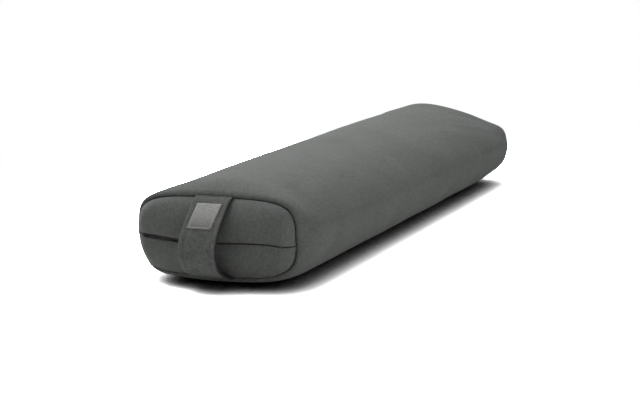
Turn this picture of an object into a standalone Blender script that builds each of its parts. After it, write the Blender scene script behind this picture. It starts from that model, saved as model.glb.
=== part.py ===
# Yoga bolster with a carrying handle and a concealed zip.
# Metres, +Z up. Width along X, length along Y, the zip end faces -Y.
# The origin is at the middle of the object's footprint, on the floor.

import math

import bmesh
import bpy
import numpy as np
from mathutils import Vector

# Cushion: driving sizes
BODY_LENGTH = 0.682         # from end seam to end seam
BODY_WIDTH = 0.216
BODY_HEIGHT = 0.114
WIDEST_HEIGHT = 0.061       # height above the floor where the body is widest
FLOOR_FLAT_DEPTH = 0.0005   # how deep the underside is flattened on the floor
TOP_ROUNDNESS = 1.9         # exponents of the cross section, 2 is an ellipse
BOTTOM_ROUNDNESS = 2.7

# End seams
SEAM_WIDTH = 0.183
SEAM_HEIGHT = 0.087
SEAM_CENTRE_HEIGHT = 0.053
SEAM_TOP_ROUNDNESS = 4.5
SEAM_BOTTOM_ROUNDNESS = 3.2
EDGE_ROLL = 0.004           # radius of the wrap's turn into the seam
SWELL_LENGTH = 0.042        # how far from a seam the body reaches its full size

# End panels
FRONT_CROWN = 0.018
REAR_CROWN = 0.016
PANEL_RECESS = 0.0012       # how far the panels' edges lie behind the seam plane
CROWN_SQUARENESS = 2.6
CROWN_FULLNESS = 0.8

# Sheet goods and the gaps between layers
COVER_CLOTH = 0.002
LINER_CLOTH = 0.0008
LAYER_GAP = 0.0005
SEAM_GAP = 0.0007            # between an end panel's edge and the wrap

# Zip across the front end
ZIP_DROP = 0.0020           # how far the zip lies below the middle of the panel
ZIP_LINE_CROWN = 0.014      # how far the zip line stands out of the seam plane
ZIP_STRAIGHT_SHARE = 0.87   # share of the panel's half width where the zip runs straight
SIDE_TURN_FULLNESS = 0.6    # exponent of the turn from there to the side seams
ZIP_VALLEY_WIDTH = 0.008    # how far above and below the zip the panel is drawn in
LIP_GAP = 0.0021
LIP_GAP_OPEN = 0.0046       # at the left end, where the lips stand apart
TAPE_WIDTH = 0.0105
TAPE_THICKNESS = 0.0008
TAPE_END_MARGIN = 0.0143    # from a side seam to the tapes' ends
TAPE_SLOT = 0.0032          # between the two tapes
TOOTH_SLOT = 0.0019         # between the tips of the two tooth rows
TOOTH_LENGTH = 0.0009
TOOTH_WIDTH = 0.0014
TOOTH_PITCH = 0.003
TOOTH_CORD = 0.0014
TOOTH_THICKNESS = 0.001
STOP_LENGTH = 0.0024
ZIP_EDGE_BEVEL = 0.0002
ZIP_CLEARANCE = 0.0003

# Slider and pull tab
SLIDER_X = -0.020           # parked behind the handle
SLIDER_LENGTH = 0.010
SLIDER_PLATE = 0.001
SLIDER_WALL = 0.0008
NECK_THICKNESS = 0.0012
NECK_LENGTH = 0.004
FRONT_PLATE_LENGTH = 0.008
FRONT_PLATE_HEIGHT = 0.0056
FRONT_PLATE_THICKNESS = 0.0012
FRONT_PLATE_STANDOFF = 0.001
ARCH_LENGTH = 0.0062
ARCH_WIDTH = 0.0016
ARCH_WALL = 0.0007
TAB_THICKNESS = 0.001
TAB_LENGTH = 0.013
TAB_WIDTH = 0.005
TAB_SHOULDER_WIDTH = 0.0045
TAB_TIP_WIDTH = 0.0025
TAB_EYE_LENGTH = 0.0041
TAB_EYE_WIDTH = 0.0024
TAB_CLEARANCE = 0.0003

# Handle and label
HANDLE_WIDTH = 0.044
HANDLE_REACH = 0.040        # how far the handle stands out of the seam plane
HANDLE_FRONT_DROP = 0.007   # its front point is this far below the middle of the seam
HANDLE_LEAVES = 0.034       # and it leaves the panel this far above the middle
HANDLE_BOTTOM_RISE = 28     # degrees above level at which it leaves the bottom seam
HANDLE_TOP_PULL = 0.011     # how far the bow keeps its direction where it leaves the panel,
HANDLE_UPPER_PULL = 0.014   # above its front point,
HANDLE_LOWER_PULL = 0.018   # below it
HANDLE_BOTTOM_PULL = 0.022  # and at the bottom seam
HANDLE_PLY = 0.0012
HANDLE_GAP = 0.0005         # between the handle's ends and the panel
PLY_GAP = 0.0003
LABEL_WIDTH = 0.028
LABEL_HEIGHT = 0.030
LABEL_DROP = 0.0110         # from the top seam to the label, along the strap
LABEL_THICKNESS = 0.0006

# Inside
LINER_START = 0.010         # depth behind the seam plane where the liner's sides begin
LINER_CROWN = 0.0125
BATTING_START = 0.019       # depth behind the seam plane where the foam and its batting end
BATTING_SIDES = 0.0182      # thickness of the batting beside the foam
BATTING_ABOVE = 0.0192      # and above and below it
PAD_EDGE_GAP = 0.0015       # between the edges of the end pads and of the liner's ends
FOAM_EDGE = 0.024           # radius of the foam's long edges

# Mesh counts
QUARTER_STEPS = 10          # points on a quarter of a cross section
SIDE_STEPS = 3              # of those, on the short side of the end panel
BOUNDARY_SPLIT = 2          # panel cells for each cross section step
DOME_RINGS = (1.0, 0.97, 0.9, 0.77, 0.58, 0.34, 0.12)
BOW_STEPS = 9               # for each of the bow's two curves
FOAM_EDGE_STEPS = 4
CURVE_SAMPLES = 241         # for measuring along a cross section
SHARP_ANGLE = 40            # degrees between faces, from where an edge shows

# Places worked out from the sizes above
TOTAL_LENGTH = HANDLE_REACH + BODY_LENGTH + REAR_CROWN
FRONT_SEAM_Y = HANDLE_REACH - TOTAL_LENGTH / 2
REAR_SEAM_Y = FRONT_SEAM_Y + BODY_LENGTH
LINER_INSET = COVER_CLOTH + LAYER_GAP
BATTING_INSET = LINER_INSET + LINER_CLOTH + LAYER_GAP
PANEL_HALF_WIDTH = SEAM_WIDTH / 2 - SEAM_GAP
PANEL_HALF_HEIGHT = SEAM_HEIGHT / 2 - SEAM_GAP

# Depths behind an end seam where the body's rings lie
SWELL_STATIONS = (0.0, EDGE_ROLL * 3 / 8, EDGE_ROLL, LINER_START, BATTING_START,
                  (BATTING_START + SWELL_LENGTH) / 2, SWELL_LENGTH)


# Scene

for old in list(bpy.data.objects):
    bpy.data.objects.remove(old, do_unlink=True)

parts = bpy.data.collections.new("yoga_bolster")
cutters = bpy.data.collections.new("cutters")
bpy.context.scene.collection.children.link(parts)
bpy.context.scene.collection.children.link(cutters)


def make_material(name, colour, roughness, metallic=0.0):
    material = bpy.data.materials.new(name)
    material.use_nodes = True
    shader = material.node_tree.nodes["Principled BSDF"]
    shader.inputs["Base Color"].default_value = (*colour, 1.0)
    shader.inputs["Roughness"].default_value = roughness
    shader.inputs["Metallic"].default_value = metallic
    return material


def add_part(name, mesh, material, parent=None, location=(0, 0, 0)):
    part = bpy.data.objects.new(name, mesh)
    mesh.materials.clear()
    mesh.materials.append(make_material(name, *material))
    parts.objects.link(part)
    part.parent = parent
    part.location = location
    return part


def add_empty(name, location, turn=0.0, parent=None):
    empty = bpy.data.objects.new(name, None)
    parts.objects.link(empty)
    empty.parent = parent
    empty.location = location
    empty.rotation_euler = (0, 0, turn)
    return empty


def thicken(part, thickness, offset=-1.0):
    solidify = part.modifiers.new("thickness", "SOLIDIFY")
    solidify.thickness = thickness
    solidify.offset = offset
    solidify.use_even_offset = True
    return solidify


def combine(part, other, operation):
    for holder in list(other.users_collection):
        holder.objects.unlink(other)
    cutters.objects.link(other)
    other.display_type = "WIRE"
    other.hide_render = True
    boolean = part.modifiers.new(operation.lower(), "BOOLEAN")
    boolean.operation = operation
    boolean.solver = "EXACT"
    boolean.object = other


# Shapes

def surface(name, rows, closed=False, caps=False, inside=None):
    # A skin over rows of points. With inside given, it faces away from that point.
    bm = bmesh.new()
    grid = [[bm.verts.new(point) for point in row] for row in rows]
    for row, following in zip(grid, grid[1:]):
        steps = len(row) if closed else len(row) - 1
        for i in range(steps):
            j = (i + 1) % len(row)
            bm.faces.new((row[i], row[j], following[j], following[i]))
    if caps:
        bm.faces.new(grid[0])
        bm.faces.new(grid[-1])
        bmesh.ops.recalc_face_normals(bm, faces=bm.faces)
    bm.normal_update()
    if inside is not None:
        bm.faces.ensure_lookup_table()
        first = bm.faces[0]
        if first.normal.dot(first.calc_center_median() - Vector(inside)) < 0:
            bmesh.ops.reverse_faces(bm, faces=bm.faces)
    mesh = bpy.data.meshes.new(name)
    bm.to_mesh(mesh)
    bm.free()
    mesh.shade_smooth()
    mesh.set_sharp_from_angle(angle=math.radians(SHARP_ANGLE))
    return mesh


def block(name, size, centre, bevel=0.0, segments=1):
    bm = bmesh.new()
    bmesh.ops.create_cube(bm, size=1.0)
    bmesh.ops.scale(bm, vec=size, verts=bm.verts)
    if bevel:
        bmesh.ops.bevel(bm, geom=bm.edges, offset=bevel, segments=segments, profile=0.5, affect="EDGES")
    bmesh.ops.translate(bm, vec=centre, verts=bm.verts)
    mesh = bpy.data.meshes.new(name)
    bm.to_mesh(mesh)
    bm.free()
    return mesh


def flat_outline(name, loops, thickness):
    # A plate in the XZ plane from closed outlines, the later ones being holes.
    curve = bpy.data.curves.new(name, "CURVE")
    curve.dimensions = "2D"
    curve.fill_mode = "BOTH"
    curve.extrude = thickness / 2
    for loop in loops:
        spline = curve.splines.new("POLY")
        spline.points.add(len(loop) - 1)
        for point, (x, z) in zip(spline.points, loop):
            point.co = (x, z, 0, 1)
        spline.use_cyclic_u = True
    return curve


def quarter(half_width, height, roundness):
    # A quarter of the cross section, from its side to its top, in equal steps.
    angle = np.linspace(0, math.pi / 2, CURVE_SAMPLES)
    x = half_width * np.abs(np.cos(angle)) ** (2 / roundness)
    z = height * np.abs(np.sin(angle)) ** (2 / roundness)
    run = np.concatenate([[0], np.cumsum(np.hypot(np.diff(x), np.diff(z)))])
    steps = np.linspace(0, run[-1], QUARTER_STEPS + 1)
    return list(zip(np.interp(steps, run, x), np.interp(steps, run, z)))


def outline(half_width, up, down, top_roundness, bottom_roundness):
    # A closed cross section, from its right side over the top.
    top = quarter(half_width, up, top_roundness)
    bottom = quarter(half_width, down, bottom_roundness)
    points = list(top[:-1])
    points += [(-x, z) for x, z in reversed(top[1:])]
    points += [(-x, -z) for x, z in bottom[:-1]]
    points += [(x, -z) for x, z in reversed(bottom[1:])]
    return points


def body_section(depth, inset):
    # The body's cross section at a depth behind the nearer end seam.
    swell = 1 - (1 - min(depth / SWELL_LENGTH, 1)) ** 3
    turn = EDGE_ROLL - min(depth, EDGE_ROLL)
    roll = EDGE_ROLL - math.sqrt(EDGE_ROLL ** 2 - turn ** 2)

    def between(at_seam, at_middle):
        return at_seam + (at_middle - at_seam) * swell

    smaller = roll + inset
    half_width = between(SEAM_WIDTH / 2 + EDGE_ROLL, BODY_WIDTH / 2) - smaller
    up = between(SEAM_HEIGHT / 2 + EDGE_ROLL, BODY_HEIGHT - WIDEST_HEIGHT) - smaller
    down = between(SEAM_HEIGHT / 2 + EDGE_ROLL, WIDEST_HEIGHT + FLOOR_FLAT_DEPTH) - smaller
    centre = between(SEAM_CENTRE_HEIGHT, WIDEST_HEIGHT)
    top_roundness = between(SEAM_TOP_ROUNDNESS, TOP_ROUNDNESS)
    bottom_roundness = between(SEAM_BOTTOM_ROUNDNESS, BOTTOM_ROUNDNESS)
    section = outline(half_width, up, down, top_roundness, bottom_roundness)
    return [(x, centre + z) for x, z in section]


def body_rows(start, inset):
    # Rings along the body, from start behind the front seam to start before the rear one.
    depths = [start] + [depth for depth in SWELL_STATIONS if depth > start]
    places = [(depth, FRONT_SEAM_Y + depth) for depth in depths]
    places += [(depth, REAR_SEAM_Y - depth) for depth in reversed(depths)]
    return [[(x, y, z) for x, z in body_section(depth, inset)] for depth, y in places]


def crown_share(reach):
    # How much of an end's crown is left at a share of the way to its seam.
    return (1 - min(reach, 1) ** CROWN_SQUARENESS) ** CROWN_FULLNESS


def end_outline(inset):
    # The end panels' outline about the middle of the seam.
    half_width = PANEL_HALF_WIDTH - inset
    half_height = PANEL_HALF_HEIGHT - inset
    return outline(half_width, half_height, half_height, SEAM_TOP_ROUNDNESS, SEAM_BOTTOM_ROUNDNESS)


def dome_rows(edge, edge_y, crown):
    # Rings from an edge to a crown that stands out towards -Y.
    rows = []
    for share in DOME_RINGS:
        y = edge_y - crown * crown_share(share)
        rows.append([(x * share, y, z * share) for x, z in edge])
    return rows


# The cover

COVER_COLOUR = ((0.135, 0.142, 0.136), 0.92)


def build_wrap():
    mesh = surface("wrap_panel", body_rows(0.0, 0.0), closed=True,
                   inside=(0, FRONT_SEAM_Y, SEAM_CENTRE_HEIGHT))
    wrap = add_part("wrap_panel", mesh, COVER_COLOUR)
    thicken(wrap, COVER_CLOTH)
    floor_size = (BODY_WIDTH * 2, BODY_LENGTH * 2, BODY_HEIGHT)
    floor_mesh = block("floor_cut", floor_size, (0, 0, -BODY_HEIGHT / 2))
    combine(wrap, bpy.data.objects.new("floor_cut", floor_mesh), "DIFFERENCE")
    return wrap


def build_rear_panel(rear_end):
    rows = dome_rows(end_outline(0.0), PANEL_RECESS, REAR_CROWN + PANEL_RECESS)
    mesh = surface("rear_end_panel", rows, closed=True, inside=(0, BODY_LENGTH, 0))
    close_pole(mesh)
    panel = add_part("rear_end_panel", mesh, COVER_COLOUR, rear_end)
    thicken(panel, COVER_CLOTH)


def close_pole(mesh):
    # Fills the small ring left at the middle of a dome.
    bm = bmesh.new()
    bm.from_mesh(mesh)
    bm.verts.ensure_lookup_table()
    pole = [vert for vert in bm.verts[-4 * QUARTER_STEPS:]]
    face = bm.faces.new(pole)
    face.normal_update()
    if face.normal.y > 0:
        face.normal_flip()
    face.smooth = True
    bm.to_mesh(mesh)
    bm.free()


def lip_height(x):
    # Half the gap between the zip's lips: wide at the left end, closed to the right.
    share = min(max(-x / PANEL_HALF_WIDTH, 0), 1)
    return (LIP_GAP + (LIP_GAP_OPEN - LIP_GAP) * share) / 2


def front_depth(u, v, height):
    # How far the front end stands out: crown, zip valley and the turn to the side seams.
    beyond = max(abs(u) - ZIP_STRAIGHT_SHARE, 0) / (1 - ZIP_STRAIGHT_SHARE)
    side_turn = (1 - beyond ** 2) ** SIDE_TURN_FULLNESS
    bow = FRONT_CROWN - (FRONT_CROWN - ZIP_LINE_CROWN) * u ** 2
    valley = (bow - ZIP_LINE_CROWN) * math.exp(-((height + ZIP_DROP) / ZIP_VALLEY_WIDTH) ** 2)
    full = (bow - valley + PANEL_RECESS) * crown_share(v) * side_turn
    return full - PANEL_RECESS


def front_half_rows(sign):
    # One half of the front end, blended between its lip and its share of the seam outline.
    ring = end_outline(0.0)
    half = len(ring) // 2
    edge = [ring[(sign * i) % len(ring)] for i in range(half + 1)]
    edge[0] = (edge[0][0], sign * lip_height(edge[0][0]) - ZIP_DROP)
    edge[-1] = (edge[-1][0], sign * lip_height(edge[-1][0]) - ZIP_DROP)
    fine = []
    for start, end in zip(edge, edge[1:]):
        for i in range(BOUNDARY_SPLIT):
            share = i / BOUNDARY_SPLIT
            fine.append((start[0] + (end[0] - start[0]) * share, start[1] + (end[1] - start[1]) * share))
    fine.append(edge[-1])
    high = SIDE_STEPS * BOUNDARY_SPLIT
    wide = len(fine) - 1 - 2 * high
    right = fine[:high + 1]
    seam = fine[high:high + wide + 1]
    left = fine[high + wide:][::-1]
    lip = []
    for j in range(wide + 1):
        x = PANEL_HALF_WIDTH * (1 - 2 * j / wide)
        lip.append((x, sign * lip_height(x) - ZIP_DROP))
    rows = []
    for i in range(high + 1):
        v = i / high
        row = []
        for j in range(wide + 1):
            s = j / wide
            x, height = blend_patch(v, s, lip, seam, right, left, i, j)
            y = -front_depth(1 - 2 * s, v, height)
            row.append((x, y, height))
        rows.append(row)
    return rows


def blend_patch(v, s, lip, seam, right, left, i, j):
    # A point inside four boundary lines, blended from all of them.
    point = []
    for axis in (0, 1):
        across = lip[j][axis] * (1 - v) + seam[j][axis] * v
        along = right[i][axis] * (1 - s) + left[i][axis] * s
        corners = ((right[0][axis] * (1 - s) + left[0][axis] * s) * (1 - v)
                   + (right[-1][axis] * (1 - s) + left[-1][axis] * s) * v)
        point.append(across + along - corners)
    return point


def build_front_panels(front_end):
    for name, sign in (("front_end_upper", 1), ("front_end_lower", -1)):
        mesh = surface(name, front_half_rows(sign), inside=(0, BODY_LENGTH, 0))
        panel = add_part(name, mesh, COVER_COLOUR, front_end)
        thicken(panel, COVER_CLOTH)


# The zip. Depths are measured inwards from the outer face of the lips.

TAPE_LENGTH = SEAM_WIDTH - 2 * TAPE_END_MARGIN
TAPE_DEPTH = COVER_CLOTH + LAYER_GAP
TOOTH_DEPTH = TAPE_DEPTH + TAPE_THICKNESS + ZIP_CLEARANCE
PLATE_DEPTH = TOOTH_DEPTH + TOOTH_THICKNESS + ZIP_CLEARANCE
ROW_REACH = TOOTH_SLOT / 2 + TOOTH_LENGTH + TOOTH_CORD
ROW_LENGTH = TAPE_LENGTH - 2 * (STOP_LENGTH + ZIP_CLEARANCE)
TAPE_COLOUR = ((0.035, 0.037, 0.038), 0.8)
TOOTH_COLOUR = ((0.05, 0.052, 0.054), 0.45)
SLIDER_COLOUR = ((0.045, 0.046, 0.048), 0.4, 0.6)


def build_tapes(zip_line):
    depth = TAPE_DEPTH + TAPE_THICKNESS / 2
    for name, sign in (("zip_tape_upper", 1), ("zip_tape_lower", -1)):
        centre = (0, depth, sign * (TAPE_SLOT + TAPE_WIDTH) / 2)
        mesh = block(name, (TAPE_LENGTH, TAPE_THICKNESS, TAPE_WIDTH), centre)
        add_part(name, mesh, TAPE_COLOUR, zip_line)


def tooth_row_outline(first_tooth):
    # A comb: the cord on its outer side, the teeth towards the slot.
    half = ROW_LENGTH / 2
    tip = TOOTH_SLOT / 2
    root = tip + TOOTH_LENGTH
    points = [(half, ROW_REACH), (-half, ROW_REACH), (-half, root)]
    count = int((ROW_LENGTH - TOOTH_PITCH) / TOOTH_PITCH)
    for i in range(count):
        start = -half + first_tooth + i * TOOTH_PITCH
        points += [(start, root), (start, tip), (start + TOOTH_WIDTH, tip), (start + TOOTH_WIDTH, root)]
    points.append((half, root))
    return points


def build_tooth_rows(zip_line):
    depth = TOOTH_DEPTH + TOOTH_THICKNESS / 2
    for name, sign, first_tooth in (("zip_teeth_upper", 1, TOOTH_PITCH / 4),
                                    ("zip_teeth_lower", -1, TOOTH_PITCH * 3 / 4)):
        points = [(x, sign * z) for x, z in tooth_row_outline(first_tooth)]
        row = add_part(name, flat_outline(name, [points], TOOTH_THICKNESS), TOOTH_COLOUR, zip_line,
                       (0, depth, 0))
        row.rotation_euler = (math.pi / 2, 0, 0)


def build_stops(zip_line):
    size = (STOP_LENGTH, TOOTH_THICKNESS, 2 * ROW_REACH)
    for name, sign in (("zip_stop_left", -1), ("zip_stop_right", 1)):
        mesh = block(name, size, (0, 0, 0), bevel=ZIP_EDGE_BEVEL)
        x = sign * (ROW_LENGTH / 2 + ZIP_CLEARANCE + STOP_LENGTH / 2)
        add_part(name, mesh, TOOTH_COLOUR, zip_line, (x, TOOTH_DEPTH + TOOTH_THICKNESS / 2, 0))


def span_block(name, x_span, y_span, z_span, bevel=0.0):
    size = [high - low for low, high in (x_span, y_span, z_span)]
    centre = [(high + low) / 2 for low, high in (x_span, y_span, z_span)]
    return block(name, size, centre, bevel)


FRONT_PLATE_FACE = -FRONT_PLATE_STANDOFF - FRONT_PLATE_THICKNESS
PIVOT_DEPTH = FRONT_PLATE_FACE - TAB_CLEARANCE - TAB_THICKNESS / 2
ARCH_INNER_FACE = PIVOT_DEPTH - TAB_THICKNESS / 2 - TAB_CLEARANCE


def build_slider(zip_line):
    half_length = SLIDER_LENGTH / 2
    outer = ROW_REACH + ZIP_CLEARANCE + SLIDER_WALL
    plate = span_block("zip_slider", (-half_length, half_length),
                       (PLATE_DEPTH, PLATE_DEPTH + SLIDER_PLATE), (-outer, outer), ZIP_EDGE_BEVEL)
    slider = add_part("zip_slider", plate, SLIDER_COLOUR, zip_line, (SLIDER_X, 0, 0))
    overlap = SLIDER_PLATE / 2
    neck = NECK_LENGTH / 2
    front = FRONT_PLATE_LENGTH / 2
    arch = ARCH_LENGTH / 2
    arch_face = ARCH_INNER_FACE - ARCH_WALL
    flange_y = (TOOTH_DEPTH, PLATE_DEPTH + overlap)
    arch_z = (-ARCH_WIDTH / 2, ARCH_WIDTH / 2)
    leg_y = (arch_face, FRONT_PLATE_FACE + overlap)
    pieces = {
        "slider_flange_upper": ((-half_length, half_length), flange_y, (outer - SLIDER_WALL, outer)),
        "slider_flange_lower": ((-half_length, half_length), flange_y, (-outer, SLIDER_WALL - outer)),
        "slider_neck": ((-neck, neck), (FRONT_PLATE_FACE + overlap, PLATE_DEPTH + overlap),
                        (-NECK_THICKNESS / 2, NECK_THICKNESS / 2)),
        "slider_front_plate": ((-front, front), (FRONT_PLATE_FACE, -FRONT_PLATE_STANDOFF),
                               (-FRONT_PLATE_HEIGHT / 2, FRONT_PLATE_HEIGHT / 2)),
        "slider_arch_left": ((-arch, ARCH_WALL - arch), leg_y, arch_z),
        "slider_arch_right": ((arch - ARCH_WALL, arch), leg_y, arch_z),
        "slider_arch_top": ((-arch, arch), (arch_face, ARCH_INNER_FACE), arch_z),
    }
    for name, spans in pieces.items():
        piece = bpy.data.objects.new(name, span_block(name, *spans))
        piece.parent = slider
        combine(slider, piece, "UNION")
    return slider


def build_pull_tab(slider):
    # A plate with an eye: its end bar lies under the slider's arch, on the hinge axis.
    pivot = add_empty("pull_tab_pivot", (0, PIVOT_DEPTH, 0), parent=slider)
    bar = TAB_THICKNESS / 2
    half = TAB_WIDTH / 2
    shoulder = TAB_SHOULDER_WIDTH / 2
    tip = TAB_TIP_WIDTH / 2
    tail = bar - TAB_LENGTH
    shoulder_x = tail + shoulder - tip
    plate = [(bar, half), (shoulder_x, shoulder), (tail, tip),
             (tail, -tip), (shoulder_x, -shoulder), (bar, -half)]
    eye_half = TAB_EYE_WIDTH / 2
    eye = [(-bar, -eye_half), (-bar - TAB_EYE_LENGTH, -eye_half), (-bar - TAB_EYE_LENGTH, eye_half),
           (-bar, eye_half)]
    tab = add_part("zip_pull_tab", flat_outline("zip_pull_tab", [plate, eye], TAB_THICKNESS),
                   SLIDER_COLOUR, pivot)
    tab.rotation_euler = (math.pi / 2, 0, 0)


# The handle: a strap that follows the panel from the seam, bows out and comes back

HANDLE_COLOUR = ((0.12, 0.126, 0.12), 0.9)
LABEL_COLOUR = ((0.42, 0.42, 0.4), 0.85)
HANDLE_THICKNESS = 2 * HANDLE_PLY + PLY_GAP


def contact_path():
    # The part of the strap's inner face that lies on the panel, from the top seam down.
    rows = front_half_rows(1)
    middle = len(rows[0]) // 2
    profile = [np.array(row[middle][1:]) for row in reversed(rows)]
    depths = [depth for depth, _ in profile]
    heights = [-height for _, height in profile]
    on_panel = [point for point in profile if point[1] > HANDLE_LEAVES]
    leaving = np.array([np.interp(-HANDLE_LEAVES, heights, depths), HANDLE_LEAVES])
    path = offset_path([*on_panel, leaving], HANDLE_GAP)
    share = (-LAYER_GAP - path[0][0]) / (path[1][0] - path[0][0])
    path[0] = path[0] + (path[1] - path[0]) * share
    return path


def bezier(start, first, second, end):
    points = []
    for t in np.linspace(0, 1, BOW_STEPS + 1):
        s = 1 - t
        points.append(s ** 3 * start + 3 * s * s * t * first + 3 * s * t * t * second + t ** 3 * end)
    return points


def handle_path():
    # The strap's inner face from the top seam to the bottom seam, in Y and Z.
    top = contact_path()
    leave = (top[-1] - top[-2]) / np.linalg.norm(top[-1] - top[-2])
    front = np.array([HANDLE_THICKNESS - HANDLE_REACH, -HANDLE_FRONT_DROP])
    bottom = np.array([-LAYER_GAP, -PANEL_HALF_HEIGHT - HANDLE_GAP])
    rise = math.radians(HANDLE_BOTTOM_RISE)
    forward = np.array([-math.cos(rise), math.sin(rise)])
    up = np.array([0.0, 1.0])
    upper = bezier(top[-1], top[-1] + leave * HANDLE_TOP_PULL, front + up * HANDLE_UPPER_PULL, front)
    lower = bezier(front, front - up * HANDLE_LOWER_PULL, bottom + forward * HANDLE_BOTTOM_PULL, bottom)
    return [*top[:-1], *upper, *lower[1:]]


def offset_path(path, distance):
    # The same path moved sideways by a distance, with its stretches kept parallel.
    points = np.array(path)
    steps = np.diff(points, axis=0)
    steps /= np.linalg.norm(steps, axis=1)[:, None]
    sides = np.stack([steps[:, 1], -steps[:, 0]], axis=1)
    before = np.vstack([sides[:1], sides])
    after = np.vstack([sides, sides[-1:]])
    miter = before + after
    miter /= np.sum(miter * before, axis=1)[:, None]
    return points + miter * distance


def strap_rows(path, width):
    return [[(-width / 2, y, z), (width / 2, y, z)] for y, z in path]


def build_handle(front_end):
    path = handle_path()
    for name, distance in (("handle_backing_ply", 0.0), ("handle_outer_ply", HANDLE_PLY + PLY_GAP)):
        rows = strap_rows(offset_path(path, distance), HANDLE_WIDTH)
        mesh = surface(name, rows, inside=(0, BODY_LENGTH, 0))
        ply = add_part(name, mesh, HANDLE_COLOUR, front_end)
        thicken(ply, HANDLE_PLY, offset=1.0)
    face = offset_path(path, HANDLE_THICKNESS + PLY_GAP)
    run = np.concatenate([[0], np.cumsum(np.linalg.norm(np.diff(face, axis=0), axis=1))])
    ends = (LABEL_DROP, LABEL_DROP + LABEL_HEIGHT)
    stops = sorted([*ends, *[s for s in run if ends[0] < s < ends[1]]])
    label_path = [(np.interp(s, run, face[:, 0]), np.interp(s, run, face[:, 1])) for s in stops]
    mesh = surface("handle_label", strap_rows(label_path, LABEL_WIDTH), inside=(0, BODY_LENGTH, 0))
    label = add_part("handle_label", mesh, LABEL_COLOUR, front_end)
    thicken(label, LABEL_THICKNESS, offset=1.0)


# The cushion inside

LINER_COLOUR = ((0.75, 0.74, 0.7), 0.9)
BATTING_COLOUR = ((0.85, 0.85, 0.83), 0.95)
FOAM_COLOUR = ((0.72, 0.66, 0.45), 0.9)


def build_liner(front_end, rear_end):
    mesh = surface("liner_wrap", body_rows(LINER_START, LINER_INSET), closed=True,
                   inside=(0, FRONT_SEAM_Y, SEAM_CENTRE_HEIGHT))
    thicken(add_part("liner_wrap", mesh, LINER_COLOUR), LINER_CLOTH)
    edge = local_section(LINER_START, LINER_INSET + LINER_CLOTH + LAYER_GAP)
    for name, parent in (("liner_front_end", front_end), ("liner_rear_end", rear_end)):
        mesh = surface(name, dome_rows(edge, LINER_START, LINER_CROWN), closed=True,
                       inside=(0, BODY_LENGTH, 0))
        close_pole(mesh)
        thicken(add_part(name, mesh, LINER_COLOUR, parent), LINER_CLOTH)


def local_section(depth, inset):
    # A body cross section about the middle of the seam.
    return [(x, z - SEAM_CENTRE_HEIGHT) for x, z in body_section(depth, inset)]


def build_batting(front_end, rear_end, foam):
    mesh = surface("batting_wrap", body_rows(BATTING_START, BATTING_INSET), closed=True, caps=True)
    wrap = add_part("batting_wrap", mesh, BATTING_COLOUR)
    hole_size = [side + 2 * LAYER_GAP for side in foam_size()]
    hole_size[1] += 2 * FOAM_EDGE
    hole = bpy.data.objects.new("foam_cut", foam_block("foam_cut", hole_size))
    hole.location = foam.location
    combine(wrap, hole, "DIFFERENCE")
    back = [(x, BATTING_START - LAYER_GAP, z)
            for x, z in local_section(BATTING_START, BATTING_INSET + LAYER_GAP)]
    edge_depth = LINER_START + PAD_EDGE_GAP
    edge = local_section(edge_depth, BATTING_INSET + 2 * LAYER_GAP)
    crown = LINER_CROWN + PAD_EDGE_GAP - LINER_CLOTH - LAYER_GAP
    for name, parent in (("batting_front_pad", front_end), ("batting_rear_pad", rear_end)):
        rows = [back] + dome_rows(edge, edge_depth, crown)
        mesh = surface(name, rows, closed=True, caps=True)
        add_part(name, mesh, BATTING_COLOUR, parent)


def foam_size():
    width = BODY_WIDTH - 2 * (BATTING_INSET + BATTING_SIDES)
    height = BODY_HEIGHT - 2 * (BATTING_INSET + BATTING_ABOVE)
    return (width, BODY_LENGTH - 2 * BATTING_START, height)


def foam_block(name, size):
    # A block whose four long edges are rounded.
    bm = bmesh.new()
    bmesh.ops.create_cube(bm, size=1.0)
    bmesh.ops.scale(bm, vec=size, verts=bm.verts)
    long_edges = [edge for edge in bm.edges if abs(edge.verts[0].co.y - edge.verts[1].co.y) > size[1] / 2]
    bmesh.ops.bevel(bm, geom=long_edges, offset=FOAM_EDGE, segments=FOAM_EDGE_STEPS,
                    profile=0.5, affect="EDGES")
    mesh = bpy.data.meshes.new(name)
    bm.to_mesh(mesh)
    bm.free()
    return mesh


def build_foam():
    centre = (0, (FRONT_SEAM_Y + REAR_SEAM_Y) / 2, BODY_HEIGHT / 2)
    return add_part("foam_core", foam_block("foam_core", foam_size()), FOAM_COLOUR, location=centre)


def main():
    front_end = add_empty("front_end", (0, FRONT_SEAM_Y, SEAM_CENTRE_HEIGHT))
    rear_end = add_empty("rear_end", (0, REAR_SEAM_Y, SEAM_CENTRE_HEIGHT), math.pi)
    zip_line = add_empty("zip_line", (0, -ZIP_LINE_CROWN, -ZIP_DROP), parent=front_end)
    build_wrap()
    build_rear_panel(rear_end)
    build_front_panels(front_end)
    build_tapes(zip_line)
    build_tooth_rows(zip_line)
    build_stops(zip_line)
    build_pull_tab(build_slider(zip_line))
    build_handle(front_end)
    build_liner(front_end, rear_end)
    build_batting(front_end, rear_end, build_foam())


main()
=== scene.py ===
# Yoga bolster with a strap handle and a zip across its front end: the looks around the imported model.

import math

import bmesh
import bpy
import numpy as np
from mathutils import Matrix, Vector, noise
from mathutils.kdtree import KDTree


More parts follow.
